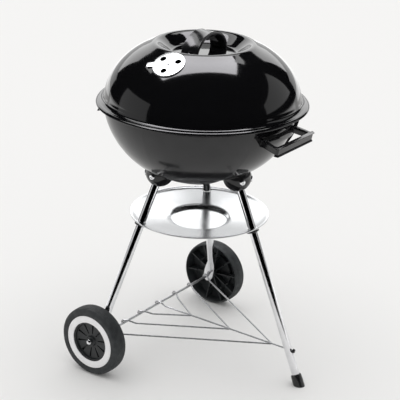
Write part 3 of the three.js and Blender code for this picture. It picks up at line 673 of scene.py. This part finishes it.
leg_lines = {}
for name, degrees in leg_angles.items():
    shoulder = polar(leg_rho, degrees, leg_z)
    hub_point = Vector((axle_x, math.copysign(leg_end_y, shoulder.y), axle_z))
    low = foot_point if name == "front" else hub_point + tab_up * 42
    along = (shoulder - low).normalized()
    leg_lines[name] = (degrees, low, low + along * ((leg_top_z - low.z) / along.z), along, hub_point)

for name, (degrees, low, top, along, hub_point) in leg_lines.items():
    centre = polar(socket_rho, degrees, socket_z)
    bpy.ops.object.select_all(action="DESELECT")
    bpy.ops.mesh.primitive_uv_sphere_add(segments=56, ring_count=28, radius=socket_radius / 1000,
                                         location=centre / 1000)
    bpy.ops.object.transform_apply(location=True)
    ball = bpy.context.object
    combined(ball, [bowl_plug(0.5)])
    ball_tools = [drill(top + along * 0.3, -along, 80, tube_radius + 0.5)]
    normal = bowl_normal(socket_bolt_rho, degrees)
    ball_tools.append(drill(bowl_point(socket_bolt_rho, degrees) - normal * 6, normal, 21, 3.1))
    for side, sweep in (("a", -34), ("b", 34)):
        outward = polar(1, degrees + sweep, -0.08).normalized()
        face = centre + outward * socket_radius
        ball_tools.append(drill(face - outward * 2.2, outward, 8, 7.6))
        screw = turned(rounded([(0, -9.5, 0), (2, -9.5, 0.4), (2, -1.9, 0.2), (6.6, -1.9, 0.4),
                                (6.6, 0.9, 0.8), (4.6, 2.4, 1.4), (0, 2.9, 0)], 4), 40)
        combined(screw, cross_cutter(6.0, 1.3, 2.9))
        stood(screw, face, outward)
        finished(screw, f"clamp_screw_{name}_{side}", chrome, "stand", "chrome",
                 f"socket_screw_{name}_{side}")
        ball_tools.append(drill(face - outward * 10.6, outward, 12, 2.2))
    combined(ball, ball_tools)
    finished(ball, f"leg_ball_{name}", plastic, "stand", "black_plastic", f"leg_socket_{name}", sharp=40)
    bolt = domed_bolt(6.5, 4, 2.7, 17)
    stood(bolt, bowl_point(socket_bolt_rho, degrees) - normal * bolt_seat, normal)
    finished(bolt, f"ball_bolt_{name}", chrome, "stand", "chrome", f"socket_bolt_{name}")

# Legs: chromed steel tube. The plain leg ends in a cap; the two wheeled legs are flattened at the
# bottom into a tab with a round end, drilled for the axle.
leg_chrome = surface("chromed_tube", (0.78, 0.785, 0.80), 0.14, 1.0)
tinted(leg_chrome, noise(leg_chrome, 18, 4), (0.70, 0.70, 0.715), (0.84, 0.845, 0.86))
spread(leg_chrome, noise(leg_chrome, 70, 5), 0.1, 0.18, "Roughness")
bumped(leg_chrome, noise(leg_chrome, 420, 2, (1, 1, 0.06)), 0.06, 0.0001)
ring_sides = 40
axle_radius = 3.0
for name, (degrees, low, top, along, hub_point) in leg_lines.items():
    bpy.ops.object.select_all(action="DESELECT")
    bpy.ops.mesh.primitive_circle_add(vertices=ring_sides, radius=tube_radius / 1000, fill_type="NGON")
    bpy.ops.object.mode_set(mode="EDIT")
    bpy.ops.mesh.select_all(action="SELECT")
    if name == "front":
        length = (top - low).length
        bpy.ops.transform.translate(value=(0, 0, -length / 1000))
        bpy.ops.mesh.extrude_region_move(TRANSFORM_OT_translate={"value": (0, 0, length / 1000)})
        tube = closed_up()
        stood(tube, top, along)
        rack_leg_x = low.x + along.x * (axle_z - low.z) / along.z
        combined(tube, [drill((rack_leg_x - 16, 0, axle_z), (1, 0, 0), 32, 2.4)])
    else:
        # Rings lie level. The leg's slant makes them a little oval along its lean.
        lean = Vector((along.x, along.y, 0)).normalized()
        ovalness = 1 / along.z
        turn = Matrix((lean, Vector((-lean.y, lean.x, 0)), Vector((0, 0, 1)))).transposed()
        bpy.ops.transform.resize(value=(ovalness, 1, 1), orient_type="LOCAL", orient_matrix=turn,
                                 orient_matrix_type="LOCAL", center_override=(0, 0, 0))
        bpy.ops.transform.translate(value=top / 1000)
        here = top
        width, thick = tube_radius, tube_radius
        rings = [(low + along * 30, 9.0, 9.0), (low + along * 16, 9.0, 8.9)]
        rings += [(hub_point + tab_up * up, w, t) for up, w, t in
                  ((42, 9.4, 8.3), (36, 10.4, 7.0), (30, 11.7, 5.2), (24, 12.8, 3.8), (18, 13.4, 3.1),
                   (12, 13.5, 3.0), (0, 13.5, 3.0), (-6, 12.6, 3.0), (-10.5, 10.2, 2.9), (-13.5, 6.6, 2.7),
                   (-15, 2.6, 2.2))]
        for place, w, t in rings:
            bpy.ops.mesh.extrude_region_move(TRANSFORM_OT_translate={"value": (place - here) / 1000})
            bpy.ops.transform.resize(value=(w / width, t / thick, 1), center_override=place / 1000)
            here, width, thick = place, w, t
        tube = closed_up()
        combined(tube, [drill(hub_point - Vector((0, 8, 0)), (0, 1, 0), 16, axle_radius + 0.3)])
    modified(tube, "BEVEL", width=0.0004, segments=2, limit_method="ANGLE", angle_limit=math.radians(60))
    finished(tube, f"leg_tube_{name}", leg_chrome, "stand", "chrome", f"leg_{name}", sharp=50)

# Foot cap: a short black plastic ferrule pushed over the plain leg's end and cut flat where it
# stands on the floor.
foot_along = leg_lines["front"][3]
cap = turned(rounded([(9.4, 17, 0), (11.9, 17, 1.2), (12.2, 9, 0.5), (12.4, 6, 0.6), (12.4, -18, 0.5),
                      (0, -18, 0), (0, 3, 0), (9.4, 3, 0), (9.4, 17, 0)], 4), 48)
stood(cap, foot_point, foot_along)
alone(cap)
bpy.ops.object.mode_set(mode="EDIT")
bpy.ops.mesh.select_all(action="SELECT")
bpy.ops.mesh.bisect(plane_co=(0, 0, 0.0002), plane_no=(0, 0, 1), use_fill=True, clear_inner=True)
cap = closed_up()
finished(cap, "foot_ferrule", plastic, "stand", "black_plastic", "foot_cap")

# Axle: a zinc-plated steel rod with rounded ends, through both leg tabs.
wheel_y = 236.0
zinc = surface("zinc_plate", (0.50, 0.505, 0.51), 0.36, 1.0)
tinted(zinc, noise(zinc, 160, 5), (0.43, 0.435, 0.44), (0.58, 0.585, 0.60))
spread(zinc, noise(zinc, 260, 4), 0.3, 0.45, "Roughness")
bumped(zinc, noise(zinc, 900, 3), 0.15, 0.0001)
axle_end = wheel_y + 20.9
rod = turned(rounded([(0, -axle_end, 0), (3, -axle_end, 0.6), (3, axle_end, 0.6), (0, axle_end, 0)], 4), 28)
stood(rod, (axle_x, 0, axle_z), (0, 1, 0))
finished(rod, "axle_rod", zinc, "stand", "zinc_wire", "axle")

# Wheels: a moulded tyre with fine ribs round its tread, hollow at the back between ten ribs, a
# white trim ring snapped into its side wall, and a black hub with ten slots and ribs behind.
rubber = surface("tyre_rubber", (0.022, 0.026, 0.028), 0.62)
tinted(rubber, noise(rubber, 60, 5), (0.018, 0.021, 0.023), (0.032, 0.037, 0.039))
spread(rubber, noise(rubber, 90, 4), 0.5, 0.75, "Roughness")
bumped(rubber, noise(rubber, 1300, 3), 0.25, 0.00015)
white_trim = surface("white_trim", (0.89, 0.885, 0.89), 0.38)
tinted(white_trim, noise(white_trim, 50, 4), (0.86, 0.855, 0.86), (0.92, 0.915, 0.92))
bumped(white_trim, noise(white_trim, 900, 2), 0.1, 0.0001)
hub_plastic = surface("hub_moulding", (0.012, 0.014, 0.015), 0.42)
tinted(hub_plastic, noise(hub_plastic, 70, 4), (0.010, 0.012, 0.013), (0.018, 0.020, 0.022))
bumped(hub_plastic, noise(hub_plastic, 1200, 2), 0.2, 0.0001)
wheel_radius, hub_radius = 80.0, 46.0
wheel_ribs = 10
tread = []
rib_pitch, rib_depth = 3.1, 0.8
for i in range(-3, 4):
    z = i * rib_pitch
    crown = wheel_radius - 0.006 * z * z
    tread += [(crown - rib_depth, z - 1.45), (crown - 0.15, z - 1.15), (crown, z - 0.9), (crown, z + 0.9),
              (crown - 0.15, z + 1.15), (crown - rib_depth, z + 1.45)]
shoulder = rounded([(79.1, 11.6, 0), (78.9, 14.0, 1.5), (74, 17.9, 2.5), (64, 18, 0.8), (62.6, 17.4, 0.3),
                    (62.6, 15, 0)], 5)
back_hollow = rounded([(hub_radius + 0.3, 11.5, 0), (72.6, 11.5, 4), (74.3, -17.3, 0.7), (76.4, -18, 0.8),
                       (78.9, -14.4, 1.6), (79.1, -11.6, 0)], 5)
tyre_line = back_hollow + tread + shoulder + [(hub_radius + 0.3, 15), (hub_radius + 0.3, 11.5)]
band_line = rounded([(46.6, 15.3, 0), (62.2, 15.3, 0), (62.2, 17.3, 0.5), (59.6, 18, 1), (49.2, 18, 1),
                     (46.6, 17.2, 0.5), (46.6, 15.3, 0)], 4)
hub_line = rounded([(3.5, -14, 0), (9, -14, 0.8), (9.3, 3.4, 1.5), (42.2, 4.6, 1), (46, 3, 0.4),
                    (46, 14, 0.8), (42.8, 14, 0.8), (41.6, 8.6, 1.5), (13, 7.4, 2),
                    (10, 12.0, 1.2), (3.5, 12.0, 0.5), (3.5, -14, 0)], 4)


def joined(pieces):
    """Several pieces as one, without cutting them."""
    alone(pieces[0])
    for piece in pieces[1:]:
        piece.select_set(True)
    bpy.ops.object.join()
    return bpy.context.object


def wheel(name, side):
    body = f"wheel_{name}"
    centre = (axle_x, side * wheel_y, axle_z)
    outward = (0, side, 0)
    tyre = turned(tyre_line, 144)
    tyre_ribs = []
    rib_start, rib_end = hub_radius + 1.5, 73.7
    for i in range(wheel_ribs):
        rib = slab([(rib_start, -1.3), (rib_end, -1.3), (rib_end, 1.3), (rib_start, 1.3)], -11, 12.2)
        tyre_ribs.append(stood(rib, spin_z=math.tau * (i + 0.85) / wheel_ribs))
    combined(tyre, [joined(tyre_ribs)], "UNION")
    stood(tyre, centre, outward)
    finished(tyre, f"tyre_{name}", rubber, body, "tyre_rubber", f"wheel_tyre_{name}", sharp=40)
    band = turned(band_line, 128)
    stood(band, centre, outward)
    finished(band, f"trim_ring_{name}", white_trim, body, "white_plastic", f"wheel_band_{name}")
    hub = turned(hub_line, 120)
    slots, ribs = [], []
    for i in range(wheel_ribs):
        step = math.tau * (i + 0.35) / wheel_ribs
        slot = slab([(17, -0.9), (40.5, -2.6), (40.5, 2.6), (17, 0.9)], 4.6, 20)
        stood(slot, spin_z=step)
        slots.append(slot)
        rib = slab([(8.5, -1.2), (43.5, -1.2), (43.5, 1.2), (8.5, 1.2)], -10, 5)
        stood(rib, spin_z=step + math.pi / wheel_ribs)
        ribs.append(rib)
    combined(hub, [joined(slots)])
    combined(hub, ribs, "UNION")
    modified(hub, "BEVEL", width=0.0003, segments=1, limit_method="ANGLE", angle_limit=math.radians(60))
    stood(hub, centre, outward)
    finished(hub, f"hub_{name}", hub_plastic, body, "black_plastic", f"wheel_hub_{name}")
    spacer = turned(rounded([(3.3, 0, 0), (6.5, 0, 0.6), (6.5, 9.9, 0.6), (3.3, 9.9, 0),
                             (3.3, 0, 0)], 3), 32)
    stood(spacer, (axle_x, side * (leg_end_y + 3.3), axle_z), outward)
    finished(spacer, f"axle_sleeve_{name}", plastic, "stand", "black_plastic", f"axle_spacer_{name}")
    push_cap = turned(rounded([(3.3, 12.6, 0), (7, 12.6, 0.5), (7, 16, 1), (6, 19.6, 1.2), (3.4, 22.2, 1.2),
                               (0, 22.6, 0), (0, 21.6, 0), (3.3, 21.2, 0.3), (3.3, 12.6, 0)], 4), 36)
    stood(push_cap, centre, outward)
    finished(push_cap, f"push_cap_{name}", chrome, "stand", "chrome", f"axle_cap_{name}")


wheel("left", -1)
wheel("right", 1)

# Ash pan: a spun aluminium tray with a round well, threaded over the three legs and held by a
# plastic sleeve under it on each.
pan_z, pan_radius = 350.0, 158.3
pan_line = rounded([(0, -22.5, 0), (62.5, -22.5, 4), (71, -15.6, 4), (77.5, -14.2, 2), (146, -3.4, 5),
                    (154, -0.5, 3), (pan_radius, -0.2, 1.2), (pan_radius, -2.6, 0)], 6)
pan = turned([(r, z + pan_z) for r, z in pan_line], 160)
modified(pan, "SOLIDIFY", thickness=0.0011, offset=-1)
pan_tools = []
for name, (degrees, low, top, along, hub_point) in leg_lines.items():
    crossing = low + along * ((pan_z - 4.75 - low.z) / along.z)
    pan_tools.append(drill((crossing.x, crossing.y, pan_z - 30), (0, 0, 1), 45, 11.4))
combined(pan, pan_tools)
spun = surface("spun_aluminium", (0.58, 0.59, 0.60), 0.2, 1.0)
spun_nodes, spun_links = spun.node_tree.nodes, spun.node_tree.links
spun_place = spun_nodes.new("ShaderNodeTexCoord")
spun_centre = spun_nodes.new("ShaderNodeMapping")
spun_centre.inputs["Location"].default_value = (-axis_x, 0, 0)
spun_centre.inputs["Scale"].default_value = (1, 1, 0)
spun_radius = spun_nodes.new("ShaderNodeVectorMath")
spun_radius.operation = "LENGTH"
spun_noise = spun_nodes.new("ShaderNodeTexNoise")
spun_noise.noise_dimensions = "1D"
spun_noise.inputs["Scale"].default_value = 1400
spun_noise.inputs["Detail"].default_value = 4
spun_links.new(spun_place.outputs["Object"], spun_centre.inputs["Vector"])
spun_links.new(spun_centre.outputs["Vector"], spun_radius.inputs[0])
spun_links.new(spun_radius.outputs["Value"], spun_noise.inputs["W"])
bumped(spun, spun_noise.outputs["Fac"], 0.10, 0.00006)
spread(spun, noise(spun, 24, 4), 0.17, 0.24, "Roughness")
finished(pan, "ash_tray", spun, "stand", "aluminium", "ash_pan", sharp=40)
for name, (degrees, low, top, along, hub_point) in leg_lines.items():
    sleeve = turned(rounded([(9.3, 0, 0), (13.6, 0, 1.2), (14.3, 3.9, 0.8), (9.3, 3.9, 0),
                             (9.3, 0, 0)], 4), 36)
    stood(sleeve, low + along * ((pan_z - 13.6 - low.z) / along.z), along)
    finished(sleeve, f"tray_sleeve_{name}", plastic, "stand", "black_plastic", f"pan_clip_{name}")

# Wire rack: four-millimetre zinc wire, bent over the axle at its ends and welded under one spine
# that runs to the plain leg, where a plastic nut holds it.
wire_radius, rack_z = 2.0, axle_z
hook_radius = axle_radius + wire_radius + 1.2
rack_end_x = rack_leg_x + 15.4


def hook(y):
    return [(axle_x + hook_radius * math.cos(math.radians(a)), y,
             axle_z + hook_radius * math.sin(math.radians(a))) for a in (205, 186, 168, 150, 130, 110, 90)]


def wire(points, radius=wire_radius, sides=14):
    """A round wire through points: a traced line with a circle swept along it."""
    trace(points)
    bpy.ops.object.mode_set(mode="OBJECT")
    alone(bpy.context.object)
    bpy.ops.object.convert(target="CURVE")
    path = bpy.context.object
    path.data.bevel_depth = radius / 1000
    path.data.bevel_resolution = sides // 4
    path.data.use_fill_caps = True
    alone(path)
    bpy.ops.object.convert(target="MESH")
    return bpy.context.object


def down_to(y, x):
    """The wire's easy bend from the hook's crest down to the rack's level."""
    drop = hook_radius
    return [(axle_x + 9, y, rack_z + drop * 0.93), (axle_x + 15, y, rack_z + drop * 0.6),
            (axle_x + 20, y, rack_z + drop * 0.22), (x, y, rack_z)]


spine_points = hook(0) + down_to(0, axle_x + 25) + [(rack_leg_x - 14, 0, rack_z), (rack_end_x, 0, rack_z)]
wires = [wire(spine_points)]
for half_base, apex_x in ((68, -15.6), (128.6, 94.7), (196, 209.9)):
    for side in (-1, 1):
        base_y = side * half_base
        start_y = base_y * (1 - 25 / (apex_x - axle_x))
        line = hook(base_y)
        for x, y, z in down_to(0, axle_x + 25):
            line.append((x, base_y + (start_y - base_y) * (x - axle_x) / 25, z))
        wires.append(wire(line + [(apex_x, side * 1.2, rack_z - 0.6)]))
rack = joined(wires)
finished(rack, "wire_shelf", zinc, "stand", "zinc_wire", "wire_rack")
nut = turned(rounded([(2.3, 0, 0), (5, 0, 0.5), (5, 3, 0.8), (3.4, 4.7, 0.8), (0, 5, 0), (0, 4.2, 0),
                      (2.3, 4, 0), (2.3, 0, 0)], 3), 24)
stood(nut, (rack_leg_x + 12.3, 0, axle_z), (1, 0, 0))
finished(nut, "shelf_nut", plastic, "stand", "black_plastic", "rack_nut")

# Grates: bright nickel-plated bars welded to a ring, the upper one to cook on and the lower one
# for the charcoal. Four pressed tabs in the bowl carry the upper grate.
bar_steel = surface("plated_bar", (0.66, 0.665, 0.67), 0.22, 1.0)
tinted(bar_steel, noise(bar_steel, 90, 5), (0.56, 0.56, 0.565), (0.74, 0.745, 0.75))
spread(bar_steel, noise(bar_steel, 150, 4), 0.16, 0.34, "Roughness")
bumped(bar_steel, noise(bar_steel, 700, 3), 0.12, 0.0001)


def grate(radius, z, pitch, bar_radius, cross_x):
    """A round grate: a ring, parallel bars along X, and cross bars under them at these x."""
    ring_points = [tuple(polar(radius, 360 * i / 96, z)) for i in range(97)]
    ring_piece = wire(ring_points, bar_radius)
    bars = [ring_piece]
    count = int((radius - pitch / 2) / pitch)
    for i in range(-count, count + 1):
        y = i * pitch
        half = math.sqrt(radius * radius - y * y) - 0.4 * bar_radius
        bars.append(wire([(-half, y, z), (half, y, z)], bar_radius * 0.85, 12))
    cross_z = z - bar_radius * 1.5
    for x in cross_x:
        half = math.sqrt(radius * radius - x * x) - 0.4 * bar_radius
        bars.append(wire([(x, -half, cross_z), (x, half, cross_z)], bar_radius, 12))
    return joined(bars)


cooking = grate(200, 592, 18, 2.5, (-90, 90))
finished(cooking, "cooking_bars", bar_steel, "cooking_grate", "grate_steel", "cooking_grate")
charcoal = grate(155, 505.5, 24, 3.0, (-70, 70))
finished(charcoal, "charcoal_bars", bar_steel, "charcoal_grate", "grate_steel", "charcoal_grate")
bracket_width, bracket_top = 16, 589
bracket_line = rounded([(187, 0, 0), (187, -1.9, 0.5), (198.8, -1.9, 1.2), (199, -12, 0.6),
                        (200.6, -12, 0.6), (201.6, -2, 0.8), (202.4, 0, 0.4)], 3)
for index, degrees in enumerate((45, 135, 225, 315)):
    bracket = plate([(r, -bracket_width / 2, bracket_top + z) for r, z in bracket_line],
                    (0, bracket_width, 0))
    modified(bracket, "BEVEL", width=0.0003, segments=2, limit_method="ANGLE", angle_limit=math.radians(50))
    stood(bracket, spin_z=math.radians(degrees))
    finished(bracket, f"bowl_bracket_{index + 1}", bar_steel, "stand", "grate_steel",
             f"grate_tab_{index + 1}")
